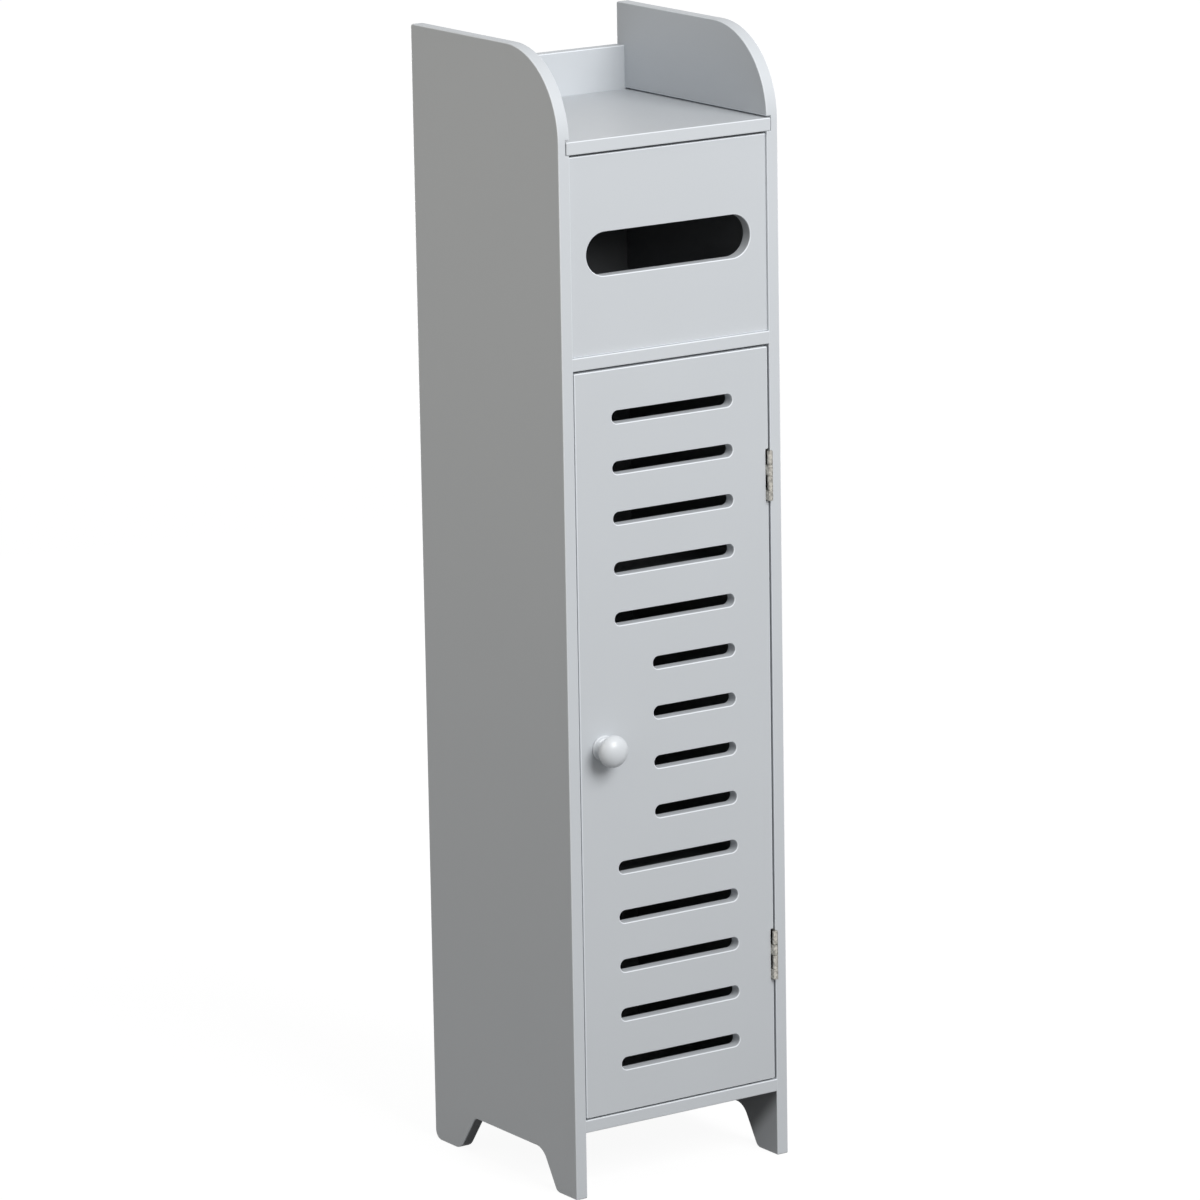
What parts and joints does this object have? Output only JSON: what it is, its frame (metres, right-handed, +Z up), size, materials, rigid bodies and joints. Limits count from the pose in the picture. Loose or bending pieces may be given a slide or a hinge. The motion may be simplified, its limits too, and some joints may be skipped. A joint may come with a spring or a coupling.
{
  "type": "toilet roll storage cabinet",
  "caption": "Tall narrow free-standing cabinet on cut-out feet: slotted hinged door over shelves, and a roll bay above it with a paper slot and a lid that slides forward.",
  "frame": {"origin": "on the floor, at the centre of the outline's rectangle seen from above, from the knob's dome to the back of the side panels", "axes": "+Z up, the front with the door and the knob faces -Y, +X is the hinge side"},
  "size_m": [0.18, 0.2, 0.8],
  "materials": {
    "board_paint": "sprayed satin paint, pale cool grey, on 9 mm board",
    "knob_plastic": "moulded, glossy white",
    "hinge_nickel": "satin nickel plate on pressed steel",
    "screw_zinc": "bright zinc plate",
    "dowel_beech": "turned beech, unfinished",
    "catch_plastic": "moulded, off-white",
    "magnet_ferrite": "sintered ferrite, dark grey"
  },
  "bodies": {
    "carcass": {"side_panel_left": "board_paint", "side_panel_right": "board_paint", "bottom_board": "board_paint", "divider_board": "board_paint", "shelf_lower": "board_paint", "shelf_upper": "board_paint", "back_board": "board_paint", "front_panel": "board_paint", "hinge_upper_frame_leaf": "hinge_nickel", "hinge_upper_pin": "hinge_nickel", "hinge_lower_frame_leaf": "hinge_nickel", "hinge_lower_pin": "hinge_nickel", "hinge_frame_screws": "screw_zinc", "catch_body": "catch_plastic", "catch_magnet": "magnet_ferrite", "catch_pole_plates": "screw_zinc", "catch_screws": "screw_zinc", "bottom_dowels": "dowel_beech", "divider_dowels": "dowel_beech", "shelf_dowels": "dowel_beech", "front_panel_dowels": "dowel_beech", "back_dowels": "dowel_beech", "back_screws": "screw_zinc"},
    "door": {"door": "board_paint", "knob": "knob_plastic", "knob_screw": "screw_zinc", "hinge_upper_door_leaf": "hinge_nickel", "hinge_lower_door_leaf": "hinge_nickel", "hinge_door_screws": "screw_zinc", "strike_plate": "screw_zinc", "strike_screws": "screw_zinc"},
    "lid": {"sliding_lid": "board_paint"}
  },
  "joints": [
    {"name": "door_hinge", "type": "hinge", "parent": "carcass", "child": "door", "pos_m": [0.0791, -0.0822, 0.319], "axis": [0, 0, 1], "range_deg": [0, 180]},
    {"name": "lid_slide", "type": "slide", "parent": "carcass", "child": "lid", "axis": [0, -1, 0], "range_m": [0, 0.15]}
  ]
}
